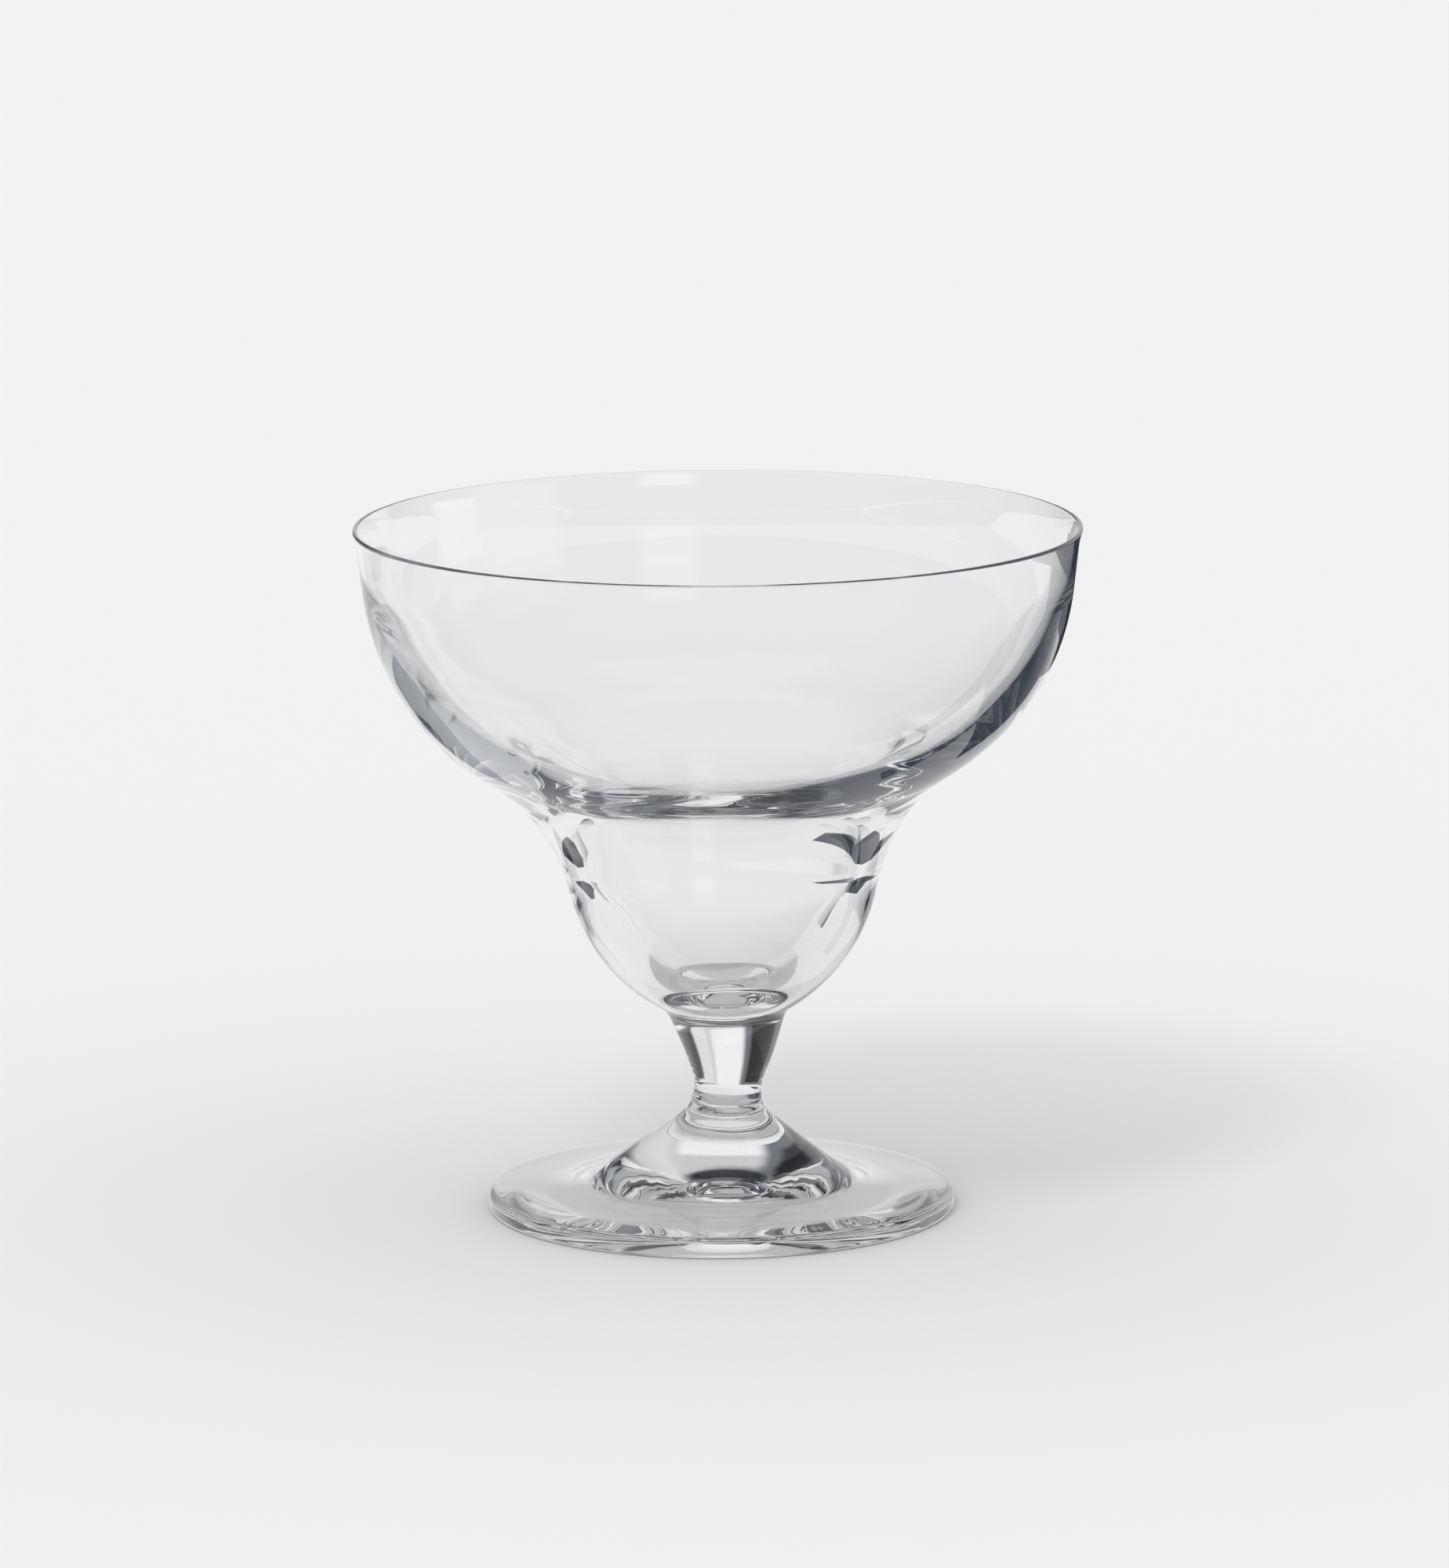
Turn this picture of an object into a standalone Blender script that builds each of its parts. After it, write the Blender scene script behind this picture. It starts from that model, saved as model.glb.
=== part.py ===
"""Dessert coupe: a stemmed glass whose wide bowl draws in at a waist over a small lower cup.

The glass is three gathers of clear glass, each turned about Z and fused to the next: the foot, the
stem and the bowl. Metres, +Z up. The origin is on the axis, in the plane that the foot rests on.

A profile is a list of (radius, height) points. Every round stretch is an arc, and neighbouring
stretches share a tangent, so the outline flows from the rim to the edge of the foot.
"""

import math

import bpy

# Bowl: outside
RIM_DIAMETER = 0.1150
BOWL_HEIGHT = 0.0789
LIP_TURN_ANGLE = math.radians(14.0)
LIP_TURN_RADIUS = 0.0105
LIP_FLARE = math.radians(6.6)
LIP_LENGTH = 0.0070
SHOULDER_RADIUS = 0.0393
WAIST_RADIUS = 0.0302
CUP_DIAMETER = 0.0501
CUP_SIDE_RADIUS = 0.0291
BASE_FILLET = 0.0034

# Bowl: inside
RIM_WALL = 0.0008
SHOULDER_THICKENING = 0.0034
INNER_WAIST_RADIUS = 0.0219
INNER_SIDE_RADIUS = 0.0291
FLOOR_DISH_RADIUS = 0.0186
FLOOR_DISH_ANGLE = math.radians(43.0)
FLOOR_THICKNESS = 0.0052

# Stem
STEM_LENGTH = 0.0132
STEM_TOP_DIAMETER = 0.0183
STEM_WAIST_DIAMETER = 0.0107
STEM_FOOT_DIAMETER = 0.0114
STEM_WAIST_HEIGHT = 0.0020
STEM_WAIST_RADIUS = 0.0060

# Foot
FOOT_DIAMETER = 0.0743
FOOT_HEIGHT = 0.0170
FOOT_EDGE = 0.0030
FOOT_FLARE_RADIUS = 0.0045
FOOT_CONE_ANGLE = math.radians(52.4)
FOOT_TOE_RADIUS = 0.0100
FOOT_TOP_SLOPE = math.radians(5.9)
FOOT_TOP_ROUND = 0.0015
FOOT_BOTTOM_ROUND = 0.0007
FOOT_REST_WIDTH = 0.0035
FOOT_HOLLOW = 0.0042

# Fused seams, kept a hair apart so that the pieces stay separate solids
SEAM = 0.0003

# Facets
TURN_STEPS = 60
MERGE_DISTANCE = 0.00001

COLLECTION_NAME = "dessert_coupe"
GLASS_COLOUR = (0.985, 0.992, 0.995, 1.0)
GLASS_IOR = 1.52

STEM_BOTTOM = FOOT_HEIGHT + SEAM
STEM_TOP = STEM_BOTTOM + STEM_LENGTH
BOWL_BOTTOM = STEM_TOP + SEAM
RIM_HEIGHT = BOWL_BOTTOM + BOWL_HEIGHT


def polar(centre, radius, angle):
    """The point at a distance and an angle from a centre; the angle runs from outward to up."""
    return (centre[0] + radius * math.cos(angle), centre[1] + radius * math.sin(angle))


def arc(centre, radius, start, end, facets):
    """Points along an arc, both ends included."""
    return [polar(centre, radius, start + (end - start) * i / facets) for i in range(facets + 1)]


def heading(start, end):
    """The angle of the line from one point to another."""
    return math.atan2(end[1] - start[1], end[0] - start[0])


def circle_beyond(first, first_reach, second, second_reach):
    """The outer of the two points that lie at given distances from a higher and a lower centre."""
    span = math.dist(first, second)
    along = (span**2 + first_reach**2 - second_reach**2) / (2 * span)
    aside = math.sqrt(first_reach**2 - along**2)
    return polar(polar(first, along, heading(first, second)), aside, heading(first, second) + math.pi / 2)


def stem_taper():
    """Centre of the stem's waist arc, and the slope from vertical of the taper above it.

    The taper leaves the top of the stem and touches the waist arc on its inner side.
    """
    centre = (STEM_WAIST_DIAMETER / 2 + STEM_WAIST_RADIUS, STEM_BOTTOM + STEM_WAIST_HEIGHT)
    top = (STEM_TOP_DIAMETER / 2, STEM_TOP)
    to_centre = heading(top, centre)
    half_view = math.asin(STEM_WAIST_RADIUS / math.dist(top, centre))
    return centre, -math.pi / 2 - (to_centre - half_view)


def stem_flare():
    """Centre, radius and sweep of the arc that runs from the stem's waist out to its lower end."""
    out = (STEM_FOOT_DIAMETER - STEM_WAIST_DIAMETER) / 2
    radius = (out**2 + STEM_WAIST_HEIGHT**2) / (2 * out)
    centre = (STEM_WAIST_DIAMETER / 2 + radius, STEM_BOTTOM + STEM_WAIST_HEIGHT)
    return centre, radius, math.asin(STEM_WAIST_HEIGHT / radius)


def bowl_profile():
    """The bowl from the floor of its lower cup up the inside, over the rim and down to its base."""
    inner, crest, outer = bowl_inside(), rim_crest(), bowl_outside()
    return inner[::-1] + crest[1:-1] + outer + [(0.0, BOWL_BOTTOM)]


def lip_turn_centre():
    """Centre of the arc by which the lip turns outwards, and the slope of the wall at the rim."""
    slope = LIP_FLARE + LIP_TURN_ANGLE
    middle = (RIM_DIAMETER / 2 - RIM_WALL / 2, RIM_HEIGHT - RIM_WALL / 2)
    return polar(middle, RIM_WALL / 2 + LIP_TURN_RADIUS, -slope), slope


def rim_crest():
    """The fire-polished rim: half a circle from the inner wall over to the outer wall."""
    centre, slope = lip_turn_centre()
    middle = polar(centre, LIP_TURN_RADIUS + RIM_WALL / 2, math.pi - slope)
    return arc(middle, RIM_WALL / 2, math.pi - slope, -slope, 6)


def shoulder_centre():
    """Centre of the bowl's outer shoulder arc, which the straight lip runs into."""
    turn, _ = lip_turn_centre()
    lip_top = polar(turn, LIP_TURN_RADIUS, math.pi - LIP_FLARE)
    lip_end = polar(lip_top, LIP_LENGTH, -math.pi / 2 - LIP_FLARE)
    return polar(lip_end, SHOULDER_RADIUS, math.pi - LIP_FLARE)


def bowl_outside():
    """Rim to base: turned lip, straight lip, shoulder, waist, lower cup, and the fillet at the stem."""
    turn, slope = lip_turn_centre()
    shoulder = shoulder_centre()
    _, taper = stem_taper()
    base_corner = (STEM_TOP_DIAMETER / 2, BOWL_BOTTOM)
    fillet = polar(base_corner, BASE_FILLET, -taper)
    cup_radius = CUP_DIAMETER / 2 - CUP_SIDE_RADIUS
    cup_reach = CUP_SIDE_RADIUS + BASE_FILLET
    cup = (cup_radius, fillet[1] + math.sqrt(cup_reach**2 - (fillet[0] - cup_radius) ** 2))
    waist = circle_beyond(
        shoulder, SHOULDER_RADIUS + WAIST_RADIUS, cup, CUP_SIDE_RADIUS + WAIST_RADIUS
    )
    return (
        arc(turn, LIP_TURN_RADIUS, math.pi - slope, math.pi - LIP_FLARE, 2)
        + arc(shoulder, SHOULDER_RADIUS, -LIP_FLARE, heading(shoulder, waist), 8)
        + arc(waist, WAIST_RADIUS, heading(waist, shoulder), heading(waist, cup), 7)[1:]
        + arc(cup, CUP_SIDE_RADIUS, heading(cup, waist), heading(cup, fillet), 7)[1:]
        + arc(fillet, BASE_FILLET, heading(fillet, cup), math.pi - taper, 4)[1:]
    )


def bowl_inside():
    """Rim to floor: turned lip, shoulder, waist, the side of the lower cup and its dished floor.

    The shoulder's arc is lifted, so the wall thickens as it goes round under the bowl. The cup's side
    touches the dish of its floor, and the waist touches both the shoulder and the side.
    """
    turn, slope = lip_turn_centre()
    shoulder = polar(shoulder_centre(), SHOULDER_THICKENING, math.pi / 2 - LIP_FLARE)
    reach = SHOULDER_RADIUS - RIM_WALL
    dish = (0.0, BOWL_BOTTOM + FLOOR_THICKNESS + FLOOR_DISH_RADIUS)
    side = polar(dish, FLOOR_DISH_RADIUS - INNER_SIDE_RADIUS, -FLOOR_DISH_ANGLE)
    waist = circle_beyond(
        shoulder, reach + INNER_WAIST_RADIUS, side, INNER_SIDE_RADIUS + INNER_WAIST_RADIUS
    )
    return (
        arc(turn, LIP_TURN_RADIUS + RIM_WALL, math.pi - slope, math.pi - LIP_FLARE, 2)
        + arc(shoulder, reach, -LIP_FLARE, heading(shoulder, waist), 8)
        + arc(waist, INNER_WAIST_RADIUS, heading(waist, shoulder), heading(waist, side) % math.tau, 8)[1:]
        + arc(side, INNER_SIDE_RADIUS, heading(side, waist), -FLOOR_DISH_ANGLE, 6)[1:]
        + arc(dish, FLOOR_DISH_RADIUS, -FLOOR_DISH_ANGLE, -math.pi / 2, 5)[1:]
    )


def stem_profile():
    """The stem: a taper from the bowl into a narrow waist, and a slight flare towards the foot."""
    waist, taper = stem_taper()
    flare, flare_radius, sweep = stem_flare()
    return (
        [(0.0, STEM_TOP), (STEM_TOP_DIAMETER / 2, STEM_TOP)]
        + arc(waist, STEM_WAIST_RADIUS, math.pi - taper, math.pi, 4)
        + arc(flare, flare_radius, math.pi, math.pi + sweep, 2)[1:]
        + [(0.0, STEM_BOTTOM)]
    )


def foot_profile():
    """The foot: a flared cone under the stem, a sloping disc with a rounded edge, a bell-shaped hollow.

    The hollow is two arcs of one radius: a skirt that leaves the resting ring and a crown over the axis.
    """
    _, _, start = stem_flare()
    top = (STEM_FOOT_DIAMETER / 2, FOOT_HEIGHT)
    flare = polar(top, FOOT_FLARE_RADIUS, start)
    cone_top = polar(flare, FOOT_FLARE_RADIUS, math.pi + FOOT_CONE_ANGLE)
    edge = FOOT_DIAMETER / 2
    round_drop = FOOT_TOP_ROUND * (1 - math.sin(FOOT_TOP_SLOPE)) * math.tan(FOOT_TOP_SLOPE)
    top_round = (
        edge - FOOT_TOP_ROUND,
        FOOT_EDGE + round_drop - FOOT_TOP_ROUND * math.cos(FOOT_TOP_SLOPE),
    )
    toe = foot_toe(cone_top, polar(top_round, FOOT_TOP_ROUND, math.pi / 2 - FOOT_TOP_SLOPE))
    bottom_round = (edge - FOOT_BOTTOM_ROUND, FOOT_BOTTOM_ROUND)
    rest = edge - FOOT_BOTTOM_ROUND - FOOT_REST_WIDTH
    hollow_radius = (rest**2 + FOOT_HOLLOW**2) / (4 * FOOT_HOLLOW)
    skirt, crown = (rest, hollow_radius), (0.0, FOOT_HOLLOW - hollow_radius)
    rise = heading(crown, skirt)
    return (
        [(0.0, FOOT_HEIGHT)]
        + arc(flare, FOOT_FLARE_RADIUS, math.pi + start, math.pi + FOOT_CONE_ANGLE, 4)
        + arc(toe, FOOT_TOE_RADIUS, math.pi + FOOT_CONE_ANGLE, 3 * math.pi / 2 - FOOT_TOP_SLOPE, 4)
        + arc(top_round, FOOT_TOP_ROUND, math.pi / 2 - FOOT_TOP_SLOPE, 0.0, 4)
        + arc(bottom_round, FOOT_BOTTOM_ROUND, 0.0, -math.pi / 2, 3)
        + arc(skirt, hollow_radius, -math.pi / 2, rise - math.pi, 4)
        + arc(crown, hollow_radius, rise, math.pi / 2, 4)[1:]
    )


def foot_toe(cone_point, disc_point):
    """Centre of the fillet that lies against both the foot's cone and its disc.

    Each line is moved out by the fillet's radius, and the centre is where the two cross.
    """
    cone = polar(cone_point, FOOT_TOE_RADIUS, FOOT_CONE_ANGLE)
    disc = polar(disc_point, FOOT_TOE_RADIUS, math.pi / 2 - FOOT_TOP_SLOPE)
    fall, slope = 1 / math.tan(FOOT_CONE_ANGLE), math.tan(FOOT_TOP_SLOPE)
    radius = (cone[1] + fall * cone[0] - disc[1] - slope * disc[0]) / (fall - slope)
    return (radius, cone[1] - fall * (radius - cone[0]))


def glass(name):
    """Clear colourless glass."""
    material = bpy.data.materials.new(name)
    material.use_nodes = True
    shader = material.node_tree.nodes["Principled BSDF"]
    shader.inputs["Base Color"].default_value = GLASS_COLOUR
    shader.inputs["Metallic"].default_value = 0.0
    shader.inputs["Roughness"].default_value = 0.0
    shader.inputs["IOR"].default_value = GLASS_IOR
    shader.inputs["Transmission Weight"].default_value = 1.0
    return material


def turned(name, profile, collection):
    """A solid turned about Z from a profile that runs down its outer side."""
    mesh = bpy.data.meshes.new(name)
    vertices = [(radius, 0.0, height) for radius, height in profile]
    mesh.from_pydata(vertices, [(i, i + 1) for i in range(len(vertices) - 1)], [])
    piece = bpy.data.objects.new(name, mesh)
    collection.objects.link(piece)
    screw = piece.modifiers.new("Turn", "SCREW")
    screw.axis = "Z"
    screw.steps = TURN_STEPS
    screw.render_steps = TURN_STEPS
    screw.use_merge_vertices = True
    screw.merge_threshold = MERGE_DISTANCE
    screw.use_smooth_shade = True
    piece.data.materials.append(glass(name + "_glass"))
    return piece


def clear_scene():
    """Remove whatever the open file holds."""
    for existing in list(bpy.data.objects):
        bpy.data.objects.remove(existing, do_unlink=True)


def main():
    clear_scene()
    collection = bpy.data.collections.new(COLLECTION_NAME)
    bpy.context.scene.collection.children.link(collection)
    turned("foot", foot_profile(), collection)
    turned("stem", stem_profile(), collection)
    turned("bowl", bowl_profile(), collection)


main()
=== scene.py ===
"""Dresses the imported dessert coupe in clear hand-turned glass and stands it in a pale studio.

Three pieces are turned round the upright axis and meet without a gap, as one fused glass does: the
double bowl, the short stem and the wide foot. Each stands for the solid of the same name. Lengths are
metres, heights are measured from the floor, and a turned outline is rows of (radius, height).
"""

import logging
import math
from dataclasses import dataclass
from enum import Enum

import bpy
import numpy as np
from mathutils import Matrix, Vector


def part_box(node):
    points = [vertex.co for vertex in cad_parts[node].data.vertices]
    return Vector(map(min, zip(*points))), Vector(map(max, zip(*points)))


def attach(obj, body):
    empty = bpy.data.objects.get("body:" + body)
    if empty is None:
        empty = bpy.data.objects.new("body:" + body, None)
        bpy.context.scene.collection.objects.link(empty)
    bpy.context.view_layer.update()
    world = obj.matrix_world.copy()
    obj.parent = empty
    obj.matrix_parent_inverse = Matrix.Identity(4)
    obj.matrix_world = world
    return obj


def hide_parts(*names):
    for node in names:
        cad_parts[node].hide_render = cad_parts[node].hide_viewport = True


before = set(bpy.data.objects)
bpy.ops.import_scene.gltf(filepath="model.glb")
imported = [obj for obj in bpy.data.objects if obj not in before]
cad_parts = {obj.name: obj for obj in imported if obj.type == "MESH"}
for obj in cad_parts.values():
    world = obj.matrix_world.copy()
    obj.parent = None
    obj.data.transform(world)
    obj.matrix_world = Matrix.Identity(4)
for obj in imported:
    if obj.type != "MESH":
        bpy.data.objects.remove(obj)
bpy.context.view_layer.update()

log = logging.getLogger("coupe")

Outline = np.ndarray
Grid = np.ndarray
Point = tuple[float, float]
Colour = tuple[float, float, float]

BODY = "root"
ARC_POINTS = 160
ON_AXIS = 1e-7


class Gather(Enum):
    """The gathers of glass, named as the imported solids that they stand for."""

    BOWL = "bowl"
    STEM = "stem"
    FOOT = "foot"


# Outlines


def polar(centre: Point, radius: float, angle: float) -> np.ndarray:
    """Gives the point at a distance and an angle from a centre: c + r (cos a, sin a).

    Args:
        centre: The point measured from.
        radius: Distance from it.
        angle: Angle from the outward radius, turning up, in radians.

    Returns:
        The (radius, height) of the point.
    """
    return np.array([centre[0] + radius * math.cos(angle), centre[1] + radius * math.sin(angle)])


def arc(centre: Point, radius: float, start: float, end: float) -> Outline:
    """Gives a round arc as a fine run of points: c + r (cos a, sin a) for a from start to end.

    Args:
        centre: Centre of the arc.
        radius: Its radius.
        start: Angle of its first point, in radians.
        end: Angle of its last point.

    Returns:
        The points of the arc, both ends included.
    """
    angle = np.linspace(start, end, ARC_POINTS)
    return np.stack([centre[0] + radius * np.cos(angle), centre[1] + radius * np.sin(angle)], axis=1)


def heading(start: Point, end: Point) -> float:
    """Gives the angle of the straight line from one point to another, in radians."""
    return math.atan2(end[1] - start[1], end[0] - start[0])


def beyond(upper: Point, lower: Point, from_upper: float, from_lower: float) -> np.ndarray:
    """Finds the third corner of a triangle on two points, on the outer side of the line between them.

    The foot of its height lies (d^2 + a^2 - b^2) / 2d along the line, for sides a and b and base d.

    Args:
        upper: The upper corner.
        lower: The lower corner.
        from_upper: Length of the side at the upper corner.
        from_lower: Length of the side at the lower corner.

    Returns:
        The (radius, height) of the third corner.
    """
    base = math.dist(upper, lower)
    along = (base**2 + from_upper**2 - from_lower**2) / (2 * base)
    aside = math.sqrt(from_upper**2 - along**2)
    line = heading(upper, lower)
    return polar(polar(upper, along, line), aside, line + math.pi / 2)


def travelled(outline: Outline) -> np.ndarray:
    """Gives the length run along an outline up to each of its points."""
    return np.concatenate([[0.0], np.cumsum(np.linalg.norm(np.diff(outline, axis=0), axis=1))])


def resampled(outline: Outline, places: np.ndarray) -> Outline:
    """Reads an outline at given lengths along it, straight between its points.

    Args:
        outline: The outline.
        places: Lengths along it.

    Returns:
        One point for each length.
    """
    run = travelled(outline)
    return np.stack([np.interp(places, run, outline[:, axis]) for axis in (0, 1)], axis=1)


# The glass


@dataclass
class Stem:
    """The short stem: a taper from the bowl into a narrow waist, and a slight flare towards the foot."""

    bottom: float
    top: float
    top_radius: float = 0.00915
    waist_radius: float = 0.00535
    foot_radius: float = 0.00570
    waist_height: float = 0.0020
    waist_round: float = 0.0060

    def waist_centre(self) -> Point:
        """Gives the centre of the arc that rounds the stem's waist."""
        return (self.waist_radius + self.waist_round, self.bottom + self.waist_height)

    def taper(self) -> float:
        """Gives the slope from the upright of the taper that touches the waist's arc, in radians."""
        top, centre = (self.top_radius, self.top), self.waist_centre()
        half_view = math.asin(self.waist_round / math.dist(top, centre))
        return -math.pi / 2 - (heading(top, centre) - half_view)

    def flare(self) -> tuple[Point, float, float]:
        """Works out the arc from the waist out to the stem's lower end: r = (w^2 + h^2) / 2w.

        Returns:
            The arc's centre, its radius and the angle that it turns through.
        """
        out = self.foot_radius - self.waist_radius
        radius = (out**2 + self.waist_height**2) / (2 * out)
        centre = (self.waist_radius + radius, self.bottom + self.waist_height)
        return centre, radius, math.asin(self.waist_height / radius)

    def outline(self) -> Outline:
        """Gives the stem's side from the bowl down to the foot."""
        centre, radius, sweep = self.flare()
        waist = arc(self.waist_centre(), self.waist_round, math.pi - self.taper(), math.pi)
        return np.vstack([waist, arc(centre, radius, math.pi, math.pi + sweep)])


@dataclass
class Bowl:
    """The double bowl: a wide open bowl that draws in at a waist over a small round cup."""

    bottom: float
    rim_height: float
    rim_radius: float = 0.0575
    lip_turn: float = math.radians(14.0)
    lip_turn_radius: float = 0.0105
    lip_flare: float = math.radians(6.6)
    lip_length: float = 0.0070
    shoulder_radius: float = 0.0393
    waist_radius: float = 0.0302
    cup_radius: float = 0.02505
    cup_side: float = 0.0291
    base_fillet: float = 0.0034
    rim_wall: float = 0.0008
    shoulder_thickening: float = 0.0034
    inner_waist: float = 0.0219
    inner_side: float = 0.0291
    floor_dish: float = 0.0186
    floor_dish_angle: float = math.radians(43.0)
    floor_thickness: float = 0.0052

    def lip_centre(self) -> np.ndarray:
        """Gives the centre of the arc by which the lip turns outwards."""
        slope = self.lip_flare + self.lip_turn
        middle = (self.rim_radius - self.rim_wall / 2, self.rim_height - self.rim_wall / 2)
        return polar(middle, self.rim_wall / 2 + self.lip_turn_radius, -slope)

    def shoulder_centre(self) -> np.ndarray:
        """Gives the centre of the outer shoulder's arc, which the straight lip runs into."""
        lip_top = polar(self.lip_centre(), self.lip_turn_radius, math.pi - self.lip_flare)
        lip_end = polar(lip_top, self.lip_length, -math.pi / 2 - self.lip_flare)
        return polar(lip_end, self.shoulder_radius, math.pi - self.lip_flare)

    def crest(self) -> Outline:
        """Gives the fire-polished rim: half a circle from the inner wall over to the outer wall."""
        slope = self.lip_flare + self.lip_turn
        middle = polar(self.lip_centre(), self.lip_turn_radius + self.rim_wall / 2, math.pi - slope)
        return arc(middle, self.rim_wall / 2, math.pi - slope, -slope)

    def outside(self, stem: Stem) -> Outline:
        """Works out the outside from the rim to the stem, as arcs that each touch the next.

        Args:
            stem: The stem, whose taper the fillet under the cup runs into.

        Returns:
            The outline of the turned lip, shoulder, waist, cup and fillet.
        """
        slope, lip, shoulder = self.lip_flare + self.lip_turn, self.lip_centre(), self.shoulder_centre()
        taper = stem.taper()
        fillet = polar((stem.top_radius, self.bottom), self.base_fillet, -taper)
        side = self.cup_radius - self.cup_side
        reach = self.cup_side + self.base_fillet
        cup = (side, fillet[1] + math.sqrt(reach**2 - (fillet[0] - side) ** 2))
        above, below = self.shoulder_radius + self.waist_radius, self.cup_side + self.waist_radius
        waist = beyond(shoulder, cup, above, below)
        return np.vstack([
            arc(lip, self.lip_turn_radius, math.pi - slope, math.pi - self.lip_flare),
            arc(shoulder, self.shoulder_radius, -self.lip_flare, heading(shoulder, waist)),
            arc(waist, self.waist_radius, heading(waist, shoulder), heading(waist, cup)),
            arc(cup, self.cup_side, heading(cup, waist), heading(cup, fillet)),
            arc(fillet, self.base_fillet, heading(fillet, cup), math.pi - taper),
        ])

    def inside(self) -> Outline:
        """Works out the inside from the rim to the floor of the cup, as arcs that each touch the next.

        The shoulder's circle is lifted, so the wall thickens as it goes round under the bowl. The cup's
        side touches the shallow dish of its floor, and the waist touches both shoulder and side.

        Returns:
            The outline of the turned lip, shoulder, waist, cup side and dished floor.
        """
        slope, lip = self.lip_flare + self.lip_turn, self.lip_centre()
        shoulder = polar(self.shoulder_centre(), self.shoulder_thickening, math.pi / 2 - self.lip_flare)
        shoulder_reach = self.shoulder_radius - self.rim_wall
        dish = np.array([0.0, self.bottom + self.floor_thickness + self.floor_dish])
        side = polar(dish, self.floor_dish - self.inner_side, -self.floor_dish_angle)
        waist = beyond(shoulder, side, shoulder_reach + self.inner_waist, self.inner_side + self.inner_waist)
        return np.vstack([
            arc(lip, self.lip_turn_radius + self.rim_wall, math.pi - slope, math.pi - self.lip_flare),
            arc(shoulder, shoulder_reach, -self.lip_flare, heading(shoulder, waist)),
            arc(waist, self.inner_waist, heading(waist, shoulder), heading(waist, side) % math.tau),
            arc(side, self.inner_side, heading(side, waist), -self.floor_dish_angle),
            arc(dish, self.floor_dish, -self.floor_dish_angle, -math.pi / 2),
        ])


@dataclass
class Foot:
    """The wide foot: a flared cone under the stem, a sloping round-edged disc and a bell-shaped hollow."""

    height: float
    radius: float = 0.03715
    edge: float = 0.0030
    flare_round: float = 0.0045
    cone_angle: float = math.radians(52.4)
    toe_round: float = 0.0100
    top_slope: float = math.radians(5.9)
    top_round: float = 0.0015
    bottom_round: float = 0.0007
    rest_width: float = 0.0035
    hollow: float = 0.0042

    def toe_centre(self, cone: np.ndarray, disc: np.ndarray) -> np.ndarray:
        """Finds the centre of the fillet that lies against both the cone and the disc.

        Each line is moved out by the fillet's radius, and the centre is where the two cross.

        Args:
            cone: A point of the cone's line.
            disc: A point of the disc's line.

        Returns:
            The (radius, height) of the fillet's centre.
        """
        on_cone = polar(cone, self.toe_round, self.cone_angle)
        on_disc = polar(disc, self.toe_round, math.pi / 2 - self.top_slope)
        fall, slope = 1 / math.tan(self.cone_angle), math.tan(self.top_slope)
        radius = (on_cone[1] + fall * on_cone[0] - on_disc[1] - slope * on_disc[0]) / (fall - slope)
        return np.array([radius, on_cone[1] - fall * (radius - on_cone[0])])

    def outline(self, stem: Stem) -> Outline:
        """Gives the foot from the stem over its cone, disc and edge to the middle of its underside.

        The hollow underneath is two arcs of one radius, (w^2 + h^2) / 4h for its width w and height h: a
        skirt that leaves the resting ring, and a crown over the axis.

        Args:
            stem: The stem, whose lower end the cone runs on from.

        Returns:
            The foot's outline.
        """
        _, _, start = stem.flare()
        flare = polar((stem.foot_radius, self.height), self.flare_round, start)
        cone = polar(flare, self.flare_round, math.pi + self.cone_angle)
        drop = self.top_round * (1 - math.sin(self.top_slope)) * math.tan(self.top_slope)
        over = np.array([
            self.radius - self.top_round,
            self.edge + drop - self.top_round * math.cos(self.top_slope),
        ])
        toe = self.toe_centre(cone, polar(over, self.top_round, math.pi / 2 - self.top_slope))
        under = (self.radius - self.bottom_round, self.bottom_round)
        rest = self.radius - self.bottom_round - self.rest_width
        bell = (rest**2 + self.hollow**2) / (4 * self.hollow)
        skirt, crown = (rest, bell), (0.0, self.hollow - bell)
        rise = heading(crown, skirt)
        return np.vstack([
            arc(flare, self.flare_round, math.pi + start, math.pi + self.cone_angle),
            arc(toe, self.toe_round, math.pi + self.cone_angle, 1.5 * math.pi - self.top_slope),
            arc(over, self.top_round, math.pi / 2 - self.top_slope, 0.0),
            arc(under, self.bottom_round, 0.0, -math.pi / 2),
            arc(skirt, bell, -math.pi / 2, rise - math.pi),
            arc(crown, bell, rise, math.pi / 2),
        ])


@dataclass(frozen=True)
class Drift:
    """A sideways wander of the turned axis, as hand-worked glass has: a bell curve over the height."""

    height: float
    spread: float
    aside: float

    def at(self, heights: np.ndarray) -> np.ndarray:
        """Gives the wander at each height: a exp(-((z - h) / s)^2 / 2)."""
        return self.aside * np.exp(-0.5 * ((heights - self.height) / self.spread) ** 2)


@dataclass(frozen=True)
class ToolRings:
    """Fine rings that the jaws leave where the stem is drawn into the foot."""

    height: float = 0.0150
    spread: float = 0.0028
    pitch: float = 0.0016
    depth: float = 0.00005

    def at(self, heights: np.ndarray) -> np.ndarray:
        """Gives the rings' swell at each height: a wave under a bell curve."""
        bell = np.exp(-0.5 * ((heights - self.height) / self.spread) ** 2)
        return self.depth * bell * np.cos(math.tau * (heights - self.height) / self.pitch)


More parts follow.
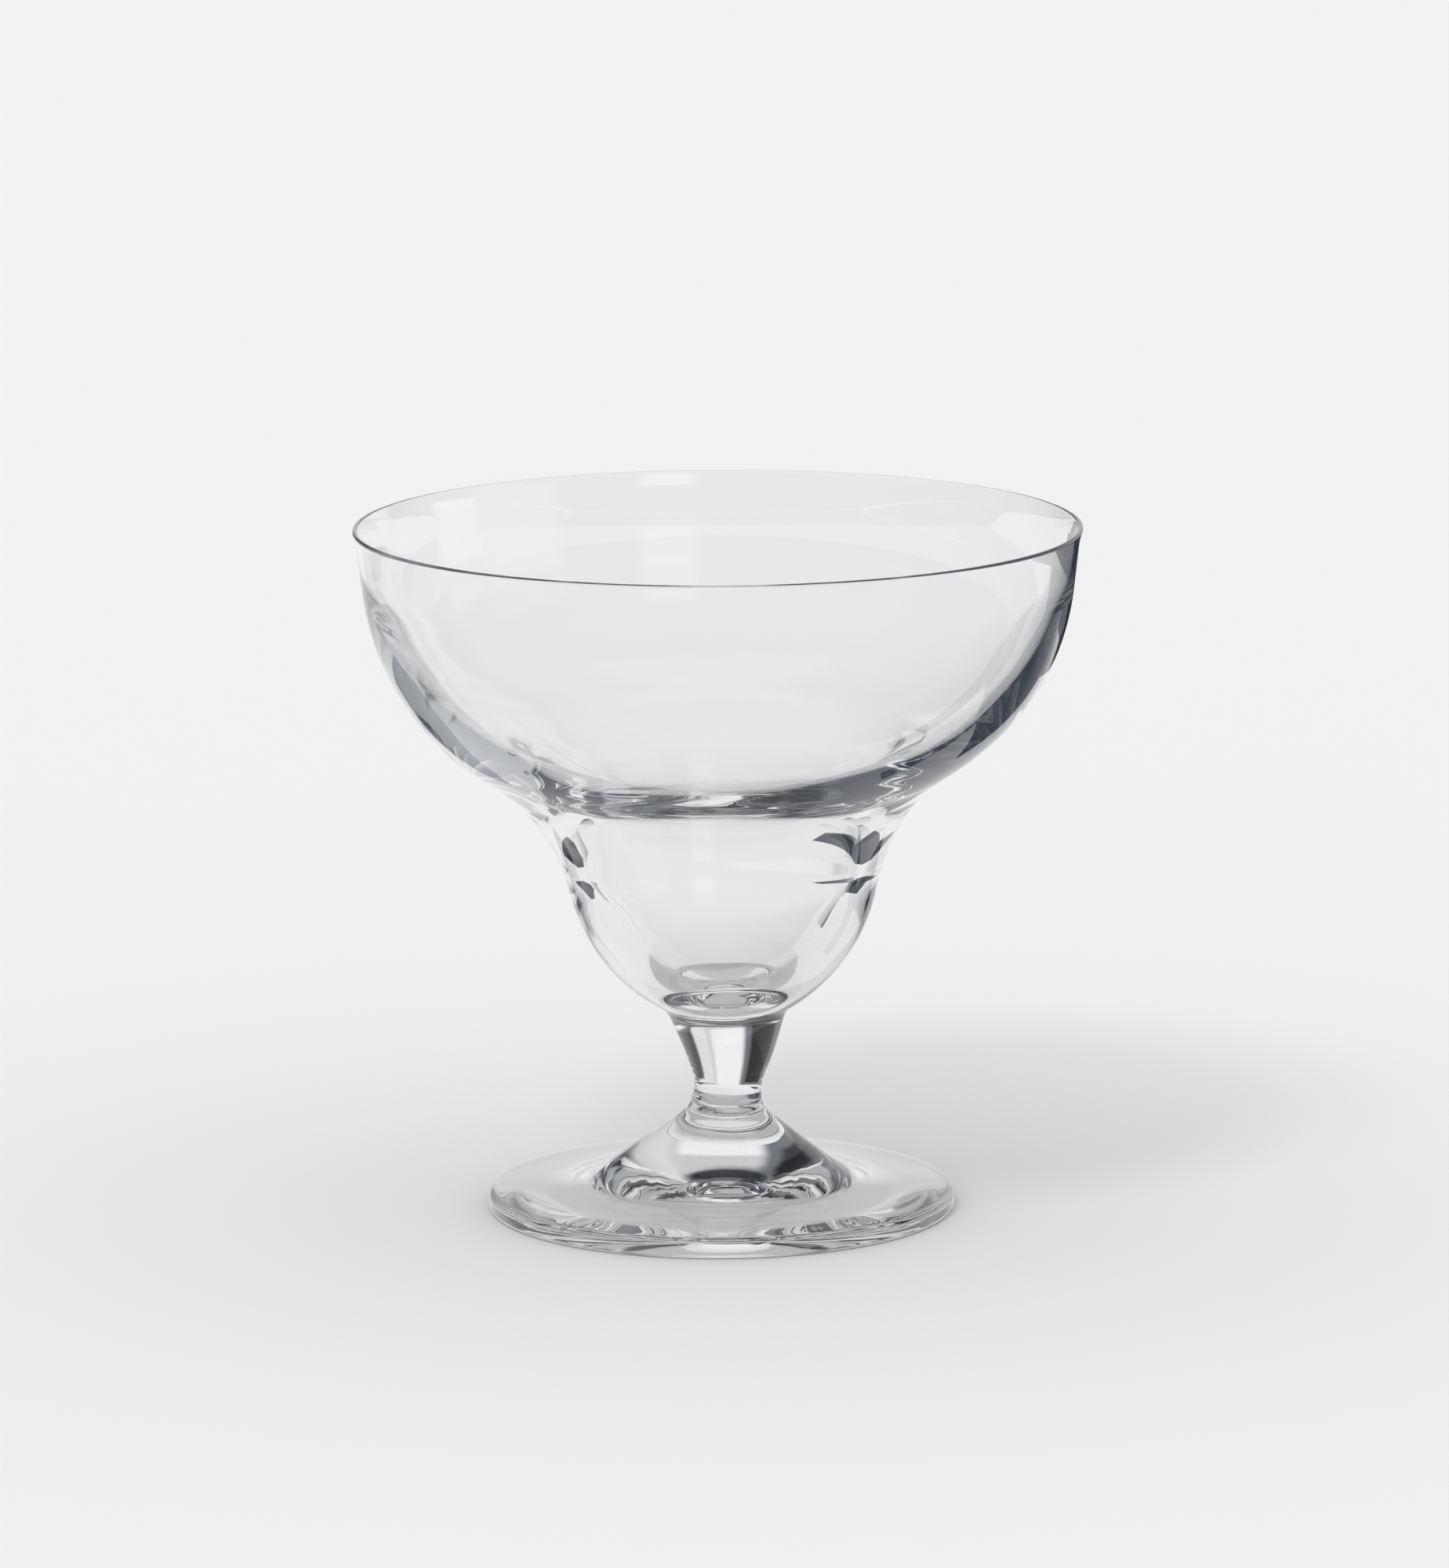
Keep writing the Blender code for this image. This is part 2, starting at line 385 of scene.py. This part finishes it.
@dataclass(frozen=True)
class ClearGlass:
    """Clear colourless glass with the faint swirl of a hand-turned piece in its surface."""

    name: str = "clear_glass"
    tint: Colour = (0.985, 0.992, 0.997)
    ior: float = 1.52
    roughness: float = 0.0
    swirl_scale: float = 38.0
    swirl_rise: float = 3.0
    swirl_strength: float = 0.05
    swirl_depth: float = 0.0002

    def material(self) -> bpy.types.Material:
        """Makes the glass: full transmission, with a noise drawn out round the axis as a slight bump."""
        material = bpy.data.materials.new(self.name)
        material.use_nodes = True
        nodes, links = material.node_tree.nodes, material.node_tree.links
        shader = nodes["Principled BSDF"]
        shader.inputs["Base Color"].default_value = (*self.tint, 1.0)
        shader.inputs["Roughness"].default_value = self.roughness
        shader.inputs["IOR"].default_value = self.ior
        shader.inputs["Transmission Weight"].default_value = 1.0
        place = nodes.new("ShaderNodeTexCoord")
        stretch = nodes.new("ShaderNodeMapping")
        stretch.inputs["Scale"].default_value = (1.0, 1.0, self.swirl_rise)
        swirl = nodes.new("ShaderNodeTexNoise")
        swirl.inputs["Scale"].default_value = self.swirl_scale
        swirl.inputs["Detail"].default_value = 1.0
        bump = nodes.new("ShaderNodeBump")
        bump.inputs["Strength"].default_value = self.swirl_strength
        bump.inputs["Distance"].default_value = self.swirl_depth
        links.new(place.outputs["Object"], stretch.inputs["Vector"])
        links.new(stretch.outputs["Vector"], swirl.inputs["Vector"])
        links.new(swirl.outputs["Fac"], bump.inputs["Height"])
        links.new(bump.outputs["Normal"], shader.inputs["Normal"])
        return material


@dataclass(frozen=True)
class FusedSeam:
    """The joint of two gathers inside the glass, which light crosses without bending."""

    name: str = "fused_seam"

    def material(self) -> bpy.types.Material:
        """Makes a surface that lets all light straight through."""
        material = bpy.data.materials.new(self.name)
        material.use_nodes = True
        nodes, links = material.node_tree.nodes, material.node_tree.links
        nodes.remove(nodes["Principled BSDF"])
        through = nodes.new("ShaderNodeBsdfTransparent")
        links.new(through.outputs["BSDF"], nodes["Material Output"].inputs["Surface"])
        return material


@dataclass
class Coupe:
    """The whole glass: one outline turned round the axis, then cut into its gathers at the seams."""

    bowl: Bowl
    stem: Stem
    foot: Foot
    glass: ClearGlass = ClearGlass()
    seam: FusedSeam = FusedSeam()
    rings: ToolRings = ToolRings()
    drifts: tuple[Drift, ...] = (
        Drift(height=0.0240, spread=0.0070, aside=0.00135),
        Drift(height=0.0460, spread=0.0100, aside=0.00055),
        Drift(height=0.0715, spread=0.0060, aside=-0.00085),
    )
    turn_steps: int = 200
    fine_step: float = 0.00005
    flow: float = 0.0004
    crisp: float = 0.0025
    longest_row: float = 0.0009
    bend_per_row: float = math.radians(5.0)

    @classmethod
    def from_frame(cls) -> "Coupe":
        """Takes the heights of the seams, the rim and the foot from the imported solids."""
        foot_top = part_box(Gather.FOOT.value)[1].z
        stem_bottom, stem_top = (corner.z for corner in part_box(Gather.STEM.value))
        bowl_bottom, rim = (corner.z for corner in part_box(Gather.BOWL.value))
        stem = Stem(bottom=stem_bottom, top=stem_top)
        return cls(Bowl(bottom=bowl_bottom, rim_height=rim), stem, Foot(height=foot_top))

    def seams(self) -> tuple[float, float]:
        """Gives the heights of the upper and the lower seam, in the middle of the solids' gaps."""
        return (self.stem.top + self.bowl.bottom) / 2, (self.stem.bottom + self.foot.height) / 2

    def outline(self) -> Outline:
        """Gives the section from the cup's floor up the inside, over the rim and down to the underside."""
        return np.vstack([
            self.bowl.inside()[::-1],
            self.bowl.crest(),
            self.bowl.outside(self.stem),
            self.stem.outline(),
            self.foot.outline(self.stem),
        ])

    def flowing(self) -> Outline:
        """Lets the arcs of the section flow into one another, as molten glass does.

        Each point becomes the bell-weighted mean of its neighbours along the section. The rim and the
        edge of the foot keep their own tight rounds.

        Returns:
            The section at a fine even step, its ends on the axis.
        """
        section = self.outline()
        length = travelled(section)[-1]
        even = resampled(section, np.linspace(0.0, length, round(length / self.fine_step)))
        reach = round(4 * self.flow / self.fine_step)
        bell = np.exp(-0.5 * (np.arange(-reach, reach + 1) * self.fine_step / self.flow) ** 2)
        mirror = np.array([-1.0, 1.0])
        padded = np.vstack([even[1 : reach + 1][::-1] * mirror, even, even[-reach - 1 : -1][::-1] * mirror])
        mean = np.stack([np.convolve(padded[:, axis], bell / bell.sum(), "valid") for axis in (0, 1)], axis=1)
        from_rim = np.hypot(even[:, 0] - self.bowl.rim_radius, even[:, 1] - self.bowl.rim_height)
        from_edge = np.hypot(even[:, 0] - self.foot.radius, even[:, 1])
        share = np.clip(np.minimum(from_rim, from_edge) / self.crisp - 1.0, 0.0, 1.0)[:, None]
        section = share * mean + (1 - share) * even
        section[[0, -1], 0] = 0.0
        return section

    def rows(self) -> Outline:
        """Picks the section's rows, close together where it bends and further apart where it runs straight.

        The rows stand at even steps of the sum of (length / longest row) and (turn / bend per row).

        Returns:
            The rows, with one exactly at each seam.
        """
        section = self.flowing()
        run = travelled(section)
        along = np.diff(section, axis=0)
        turn = np.abs(np.diff(np.unwrap(np.arctan2(along[:, 1], along[:, 0]))))
        pace = np.diff(run) / self.longest_row + np.append(turn, 0.0) / self.bend_per_row
        total = np.concatenate([[0.0], np.cumsum(pace)])
        places = np.interp(np.linspace(0.0, total[-1], math.ceil(total[-1])), total, run)
        outer = np.argmax(section[:, 1])
        at_seams = [np.interp(-seam, -section[outer:, 1], run[outer:]) for seam in self.seams()]
        return resampled(section, np.unique(np.concatenate([places, at_seams])))

    def surface(self) -> tuple[Grid, Grid, Outline]:
        """Turns the section into a grid of points, with the way that the glass faces at each.

        P(s, t) = (r(s) cos t + d(z), r(s) sin t, z(s)), where d is the wander of the axis. The facing is
        the cross product of the tangents along the section and round the axis.

        Returns:
            The points and the facings, each as rows of the section by steps round the axis, and the rows.
        """
        rows = self.rows()
        outside = np.arange(len(rows)) >= np.argmax(rows[:, 1])
        ringed = outside & (rows[:, 0] > self.stem.waist_radius / 2)
        radius = rows[:, 0] + np.where(ringed, self.rings.at(rows[:, 1]), 0.0)
        radius[[0, -1]] = 0.0
        turn = np.linspace(0.0, math.tau, self.turn_steps, endpoint=False)
        wander = sum(drift.at(rows[:, 1]) for drift in self.drifts)
        points = np.stack([
            radius[:, None] * np.cos(turn) + wander[:, None],
            radius[:, None] * np.sin(turn),
            np.broadcast_to(rows[:, 1:2], (len(rows), self.turn_steps)),
        ], axis=-1)
        along = np.gradient(points, axis=0)
        round_axis = np.roll(points, -1, axis=1) - np.roll(points, 1, axis=1)
        facing = np.cross(along, round_axis)
        facing[0], facing[-1] = (0.0, 0.0, 1.0), (0.0, 0.0, -1.0)
        facing /= np.linalg.norm(facing, axis=-1, keepdims=True)
        return points, facing, rows

    def build(self) -> list[bpy.types.Object]:
        """Cuts the turned surface at its seams and makes one dressed piece of each gather.

        Returns:
            The bowl, the stem and the foot.
        """
        points, facing, rows = self.surface()
        upper, lower = (int(np.argmin(np.abs(rows[:, 1] - seam))) for seam in self.seams())
        materials = [self.glass.material(), self.seam.material()]
        spans = {
            Gather.BOWL: slice(0, upper + 1),
            Gather.STEM: slice(upper, lower + 1),
            Gather.FOOT: slice(lower, len(rows)),
        }
        return [self.piece(gather, points[span], facing[span], materials) for gather, span in spans.items()]

    def piece(
        self, gather: Gather, points: Grid, facing: Grid, materials: list[bpy.types.Material]
    ) -> bpy.types.Object:
        """Makes one closed gather of glass and sets it in place of its solid.

        Args:
            gather: Which gather it is.
            points: Its rows of points.
            facing: The facing at each point.
            materials: The glass, and the seam.

        Returns:
            The dressed piece.
        """
        mesh = turned_mesh(f"{gather.value}_glass", points, facing)
        for material in materials:
            mesh.materials.append(material)
        piece = bpy.data.objects.new(mesh.name, mesh)
        bpy.context.scene.collection.objects.link(piece)
        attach(piece, BODY)
        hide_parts(gather.value)
        log.info("%s: %d faces", piece.name, len(mesh.polygons))
        return piece


def turned_mesh(name: str, points: Grid, facing: Grid) -> bpy.types.Mesh:
    """Closes a grid of rows round the axis into a mesh whose faces point out of the glass.

    Each row is a ring. An end row that has shrunk to the axis becomes a pole, and an open end row is
    closed by a flat seam of triangles to its middle, in the second material.

    Args:
        name: Name of the mesh.
        points: Points as rows by steps round the axis.
        facing: The facing at each point, which the shading follows.

    Returns:
        The closed mesh.
    """
    poles = [bool(np.ptp(points[end, :, 0]) < ON_AXIS) for end in (0, -1)]
    rings = slice(1 if poles[0] else 0, -1 if poles[1] else None)
    ends = np.stack([points[0].mean(axis=0), points[-1].mean(axis=0)])
    end_facing = np.array([[0.0, 0.0, 1.0], [0.0, 0.0, -1.0]])
    points, facing = points[rings], facing[rings]
    row_count, steps = points.shape[:2]
    here = np.arange(steps)
    ahead = (here + 1) % steps
    row = np.arange(row_count - 1)[:, None] * steps
    quads = np.stack([row + here, row + steps + here, row + steps + ahead, row + ahead], axis=-1)
    quads = quads.reshape(-1, 4)
    first, last, final = row_count * steps, row_count * steps + 1, (row_count - 1) * steps
    start_fan = np.stack([np.full(steps, first), here, ahead], axis=1)
    end_fan = np.stack([np.full(steps, last), final + ahead, final + here], axis=1)
    mesh = bpy.data.meshes.new(name)
    vertices = np.vstack([points.reshape(-1, 3), ends])
    mesh.from_pydata(vertices.tolist(), [], quads.tolist() + start_fan.tolist() + end_fan.tolist())
    mesh.shade_smooth()
    fans = np.repeat([0 if pole else 1 for pole in poles], steps)
    slots = np.concatenate([np.zeros(len(quads), int), fans]).astype(np.int32)
    mesh.polygons.foreach_set("material_index", slots)
    shading = np.vstack([facing.reshape(-1, 3), end_facing])
    corners = [shading[quads].reshape(-1, 3)]
    for fan, pole, flat in zip((start_fan, end_fan), poles, end_facing):
        corners.append(shading[fan].reshape(-1, 3) if pole else np.tile(flat, (3 * steps, 1)))
    mesh.normals_split_custom_set(np.vstack(corners).tolist())
    return mesh


# The studio


@dataclass(frozen=True)
class PaleFloor:
    """A plain pale floor. The glass shows a share of it evenly lit, as the pale ground under the foot is."""

    half_side: float = 6.0
    shade: float = 0.88
    drop: float = 0.00002
    shown: float = 0.88
    share: float = 0.5

    def build(self) -> bpy.types.Object:
        """Lays the floor just under the foot's resting plane."""
        reach = self.half_side
        corners = [(-reach, -reach), (reach, -reach), (reach, reach), (-reach, reach)]
        mesh = bpy.data.meshes.new("pale_floor")
        mesh.from_pydata([(x, y, -self.drop) for x, y in corners], [], [(0, 1, 2, 3)])
        mesh.materials.append(self.material())
        floor = bpy.data.objects.new("pale_floor", mesh)
        bpy.context.scene.collection.objects.link(floor)
        return floor

    def material(self) -> bpy.types.Material:
        """Makes the matt ground, mixed with an even pale light for the rays that come through the glass."""
        material = bpy.data.materials.new("pale_floor")
        material.use_nodes = True
        tree = material.node_tree
        matt = tree.nodes["Principled BSDF"]
        matt.inputs["Base Color"].default_value = (self.shade, self.shade, self.shade, 1.0)
        matt.inputs["Roughness"].default_value = 1.0
        matt.inputs["Specular IOR Level"].default_value = 0.0
        even = tree.nodes.new("ShaderNodeEmission")
        even.inputs["Color"].default_value = (self.shown, self.shown, self.shown, 1.0)
        mix = tree.nodes.new("ShaderNodeMixShader")
        tree.links.new(worked(tree, "MULTIPLY", through_glass(tree), self.share), mix.inputs["Fac"])
        tree.links.new(matt.outputs["BSDF"], mix.inputs[1])
        tree.links.new(even.outputs["Emission"], mix.inputs[2])
        tree.links.new(mix.outputs["Shader"], tree.nodes["Material Output"].inputs["Surface"])
        return material


@dataclass(frozen=True)
class DarkCard:
    """A dark card laid flat beside the glass. Only the glass shows it, as the dark lines along its edges.

    Its corners are a distance from the axis and an azimuth in degrees, from the back to the right.
    """

    name: str
    corners: tuple[Point, ...]
    shade: Colour
    rise: float = 0.0001

    def build(self) -> bpy.types.Object:
        """Lays the card just over the floor, unseen by the camera and casting no shade."""
        reach, azimuth = np.array(self.corners).T
        turn = np.radians(azimuth)
        points = np.stack([reach * np.sin(turn), reach * np.cos(turn), np.full(len(turn), self.rise)], axis=1)
        mesh = bpy.data.meshes.new(self.name)
        mesh.from_pydata(points.tolist(), [], [list(range(len(points)))[::-1]])
        material = bpy.data.materials.new(self.name)
        material.use_nodes = True
        nodes, links = material.node_tree.nodes, material.node_tree.links
        nodes.remove(nodes["Principled BSDF"])
        glow = nodes.new("ShaderNodeEmission")
        glow.inputs["Color"].default_value = (*self.shade, 1.0)
        links.new(glow.outputs["Emission"], nodes["Material Output"].inputs["Surface"])
        mesh.materials.append(material)
        card = bpy.data.objects.new(self.name, mesh)
        bpy.context.scene.collection.objects.link(card)
        card.visible_camera = card.visible_diffuse = card.visible_shadow = False
        return card


@dataclass(frozen=True)
class Panel:
    """A soft-edged patch of the studio's walls, of its own light.

    Its middle's azimuth runs from the back of the glass to the right. It reaches half a width to either
    side and from a low to a high elevation, and each edge fades over a soft angle, all in degrees.
    """

    name: str
    azimuth: float
    half_width: float
    low: float
    high: float
    soft: float
    light: Colour


@dataclass(frozen=True)
class StudioWorld:
    """The studio round the glass: even pale light on the floor, and grey walls that the glass shows."""

    fill: Colour = (0.895, 0.895, 0.895)
    walls: Colour = (0.15, 0.16, 0.175)
    panels: tuple[Panel, ...] = (
        Panel("top", 0.0, 190.0, 55.0, 95.0, 6.0, (0.05, 0.054, 0.062)),
        Panel("top_back", 0.0, 60.0, 60.0, 84.0, 4.0, (0.45, 0.455, 0.465)),
        Panel("front_left", -150.0, 32.0, -12.0, 46.0, 6.0, (0.055, 0.065, 0.085)),
        Panel("front_right", 139.0, 13.0, -12.0, 46.0, 4.0, (0.05, 0.06, 0.08)),
        Panel("window", 163.0, 9.0, 11.0, 28.0, 2.5, (1.0, 1.0, 1.0)),
        Panel("wall_right", 109.0, 16.0, -8.0, 22.0, 4.0, (0.50, 0.515, 0.54)),
        Panel("strip_right", 84.0, 10.0, -8.0, 10.0, 2.0, (1.0, 1.0, 1.0)),
        Panel("flag_left", -100.0, 34.0, -12.0, 20.0, 5.0, (0.035, 0.045, 0.062)),
        Panel("flag_left_high", -80.0, 20.0, 10.0, 46.0, 5.0, (0.025, 0.031, 0.042)),
        Panel("high_left", -54.0, 34.0, 26.0, 61.0, 4.0, (0.012, 0.016, 0.024)),
        Panel("high_right", 94.0, 27.0, 24.0, 47.0, 4.0, (0.015, 0.022, 0.034)),
        Panel("back_left", -42.0, 24.0, -6.0, 26.0, 5.0, (0.17, 0.18, 0.19)),
        Panel("gap_left", -37.0, 18.0, 8.0, 24.0, 2.5, (0.012, 0.013, 0.015)),
        Panel("back_high", 0.0, 22.0, 28.0, 49.0, 3.0, (0.03, 0.033, 0.038)),
        Panel("back_right", 26.0, 20.0, -6.0, 26.0, 5.0, (0.78, 0.78, 0.79)),
        Panel("gap_right", 48.0, 15.0, 10.0, 28.0, 3.0, (0.08, 0.08, 0.085)),
        Panel("back", 2.0, 15.0, -8.0, 26.0, 3.0, (0.62, 0.62, 0.62)),
        Panel("back_low", 1.0, 13.0, -10.0, 13.0, 2.5, (0.92, 0.92, 0.92)),
    )

    def build(self) -> None:
        """Paints each panel over the walls by its own angles round and above the glass."""
        world = bpy.data.worlds.new("studio")
        world.use_nodes = True
        tree = world.node_tree
        place = tree.nodes.new("ShaderNodeTexCoord")
        split = tree.nodes.new("ShaderNodeSeparateXYZ")
        tree.links.new(place.outputs["Generated"], split.inputs["Vector"])
        azimuth = worked(tree, "ARCTAN2", split.outputs["X"], split.outputs["Y"])
        elevation = worked(tree, "ARCSINE", split.outputs["Z"])
        paint = self.walls
        for panel in self.panels:
            paint = mixed(tree, self.cover(tree, panel, azimuth, elevation), paint, panel.light)
            paint.node.label = panel.name
        paint = mixed(tree, through_glass(tree), self.fill, paint)
        tree.links.new(paint, tree.nodes["Background"].inputs["Color"])
        bpy.context.scene.world = world

    def cover(
        self,
        tree: bpy.types.NodeTree,
        panel: Panel,
        azimuth: bpy.types.NodeSocket,
        elevation: bpy.types.NodeSocket,
    ) -> bpy.types.NodeSocket:
        """Works out how far a panel covers a direction: one inside its edges, fading to none over them.

        Args:
            tree: The world's nodes.
            panel: The panel.
            azimuth: The direction's angle round the glass, in radians.
            elevation: The direction's angle above the floor, in radians.

        Returns:
            The cover, from 0 to 1.
        """
        off = worked(tree, "SUBTRACT", azimuth, math.radians(panel.azimuth))
        off = worked(tree, "ABSOLUTE", worked(tree, "WRAP", off, math.pi, -math.pi))
        across = fade(tree, off, panel.half_width + panel.soft, panel.half_width - panel.soft)
        above = fade(tree, elevation, panel.low - panel.soft, panel.low + panel.soft)
        below = fade(tree, elevation, panel.high + panel.soft, panel.high - panel.soft)
        return worked(tree, "MULTIPLY", worked(tree, "MULTIPLY", across, above), below)


def worked(
    tree: bpy.types.NodeTree, operation: str, *values: bpy.types.NodeSocket | float
) -> bpy.types.NodeSocket:
    """Adds one sum to a node tree.

    Args:
        tree: The tree.
        operation: The sum's name.
        values: Its numbers, or the sockets that give them.

    Returns:
        The socket with the result.
    """
    node = tree.nodes.new("ShaderNodeMath")
    node.operation = operation
    for socket, value in zip(node.inputs, values):
        if isinstance(value, bpy.types.NodeSocket):
            tree.links.new(value, socket)
        else:
            socket.default_value = value
    return node.outputs["Value"]


def through_glass(tree: bpy.types.NodeTree) -> bpy.types.NodeSocket:
    """Adds a node that tells the rays that the glass turns or throws back from all others.

    Args:
        tree: The tree.

    Returns:
        The socket that gives 1 for such a ray and 0 for another.
    """
    rays = tree.nodes.new("ShaderNodeLightPath")
    return worked(tree, "MAXIMUM", rays.outputs["Is Glossy Ray"], rays.outputs["Is Transmission Ray"])


def mixed(
    tree: bpy.types.NodeTree,
    share: bpy.types.NodeSocket,
    first: bpy.types.NodeSocket | Colour,
    second: bpy.types.NodeSocket | Colour,
) -> bpy.types.NodeSocket:
    """Adds a mix of two colours to a node tree: (1 - f) a + f b.

    Args:
        tree: The tree.
        share: The socket that gives the share of the second colour.
        first: The first colour, or the socket that gives it.
        second: The second colour, or the socket that gives it.

    Returns:
        The socket with the mixed colour.
    """
    mix = tree.nodes.new("ShaderNodeMix")
    mix.data_type = "RGBA"
    sockets = {socket.identifier: socket for socket in (*mix.inputs, *mix.outputs)}
    tree.links.new(share, sockets["Factor_Float"])
    for name, colour in (("A_Color", first), ("B_Color", second)):
        if isinstance(colour, bpy.types.NodeSocket):
            tree.links.new(colour, sockets[name])
        else:
            sockets[name].default_value = (*colour, 1.0)
    return sockets["Result_Color"]


def fade(
    tree: bpy.types.NodeTree, angle: bpy.types.NodeSocket, none: float, whole: float
) -> bpy.types.NodeSocket:
    """Adds a smooth step to a node tree: 3t^2 - 2t^3 between two angles.

    Args:
        tree: The tree.
        angle: The angle, in radians.
        none: Where the step is 0, in degrees.
        whole: Where the step is 1, in degrees.

    Returns:
        The socket with the step.
    """
    node = tree.nodes.new("ShaderNodeMapRange")
    node.interpolation_type = "SMOOTHSTEP"
    tree.links.new(angle, node.inputs["Value"])
    node.inputs["From Min"].default_value = math.radians(none)
    node.inputs["From Max"].default_value = math.radians(whole)
    return node.outputs["Result"]


@dataclass(frozen=True)
class KeyLight:
    """The key light at the front left, which throws the soft shadow to the right behind the glass."""

    azimuth: float = -149.0
    elevation: float = 51.0
    strength: float = 0.44
    spread: float = 15.0

    def build(self) -> bpy.types.Object:
        """Hangs the light so that it shines from its azimuth and elevation."""
        light = bpy.data.lights.new("key_light", "SUN")
        light.energy = self.strength
        light.angle = math.radians(self.spread)
        lamp = bpy.data.objects.new("key_light", light)
        turn, rise = math.radians(self.azimuth), math.radians(self.elevation)
        towards = Vector((
            math.sin(turn) * math.cos(rise), math.cos(turn) * math.cos(rise), math.sin(rise)
        ))
        lamp.rotation_euler = towards.to_track_quat("Z", "Y").to_euler()
        lamp.visible_glossy = lamp.visible_transmission = False
        bpy.context.scene.collection.objects.link(lamp)
        return lamp


@dataclass(frozen=True)
class PhotoCamera:
    """The camera at the photograph's place: a long lens in front, looking down a little."""

    place: tuple[float, float, float] = (0.0, -1.400, 0.33556)
    pitch: float = math.radians(10.81)
    yaw: float = math.radians(0.0346)
    roll: float = math.radians(-0.3217)
    lens: float = 206.8
    sensor: float = 36.0
    reach: float = 50.0

    def build(self) -> bpy.types.Object:
        """Points the camera along its pitch and yaw, tips it by its roll, and makes it the scene's own."""
        forward = Vector((
            math.sin(self.yaw) * math.cos(self.pitch),
            math.cos(self.yaw) * math.cos(self.pitch),
            -math.sin(self.pitch),
        ))
        level = Vector((math.cos(self.yaw), -math.sin(self.yaw), 0.0))
        upright = level.cross(forward)
        right = math.cos(self.roll) * level + math.sin(self.roll) * upright
        up = right.cross(forward)
        lens = bpy.data.cameras.new("photo_camera")
        lens.sensor_width, lens.lens, lens.clip_end = self.sensor, self.lens, self.reach
        camera = bpy.data.objects.new("photo_camera", lens)
        turned = Matrix((right, up, -forward)).transposed().to_4x4()
        camera.matrix_world = Matrix.Translation(self.place) @ turned
        bpy.context.scene.collection.objects.link(camera)
        bpy.context.scene.camera = camera
        return camera


@dataclass(frozen=True)
class Studio:
    """The pale room that the glass stands in."""

    floor: PaleFloor = PaleFloor()
    cards: tuple[DarkCard, ...] = (
        DarkCard(
            "card_left",
            ((0.10, -50), (0.10, -41), (0.13, -36), (0.17, -33), (0.22, -30), (0.28, -29), (0.28, -46),
             (0.20, -56), (0.14, -58)),
            (0.022, 0.029, 0.044),
        ),
        DarkCard(
            "card_right",
            ((0.06, 82), (0.06, 71), (0.125, 66), (0.12, 56), (0.12, 42), (0.17, 37), (0.26, 34), (0.29, 28),
             (0.35, 20), (0.45, 12.5), (0.75, 9), (0.75, 36), (0.48, 50), (0.28, 62), (0.16, 74)),
            (0.03, 0.038, 0.055),
        ),
    )
    world: StudioWorld = StudioWorld()
    key: KeyLight = KeyLight()
    camera: PhotoCamera = PhotoCamera()
    bounces: int = 64

    def build(self) -> None:
        """Sets up the floor, the cards, the walls, the key light and the camera.

        Light that enters the bowl's wall may turn some dozens of times before it leaves.
        """
        self.floor.build()
        for card in self.cards:
            card.build()
        self.world.build()
        self.key.build()
        self.camera.build()
        scene = bpy.context.scene
        scene.view_settings.view_transform = "Standard"
        scene.cycles.max_bounces = self.bounces
        scene.cycles.transmission_bounces = self.bounces
        scene.cycles.glossy_bounces = self.bounces


def main() -> None:
    """Builds the glass and the studio round it."""
    logging.basicConfig(level=logging.INFO, format="%(name)s %(message)s")
    Coupe.from_frame().build()
    Studio().build()


if __name__ == "__main__":
    main()
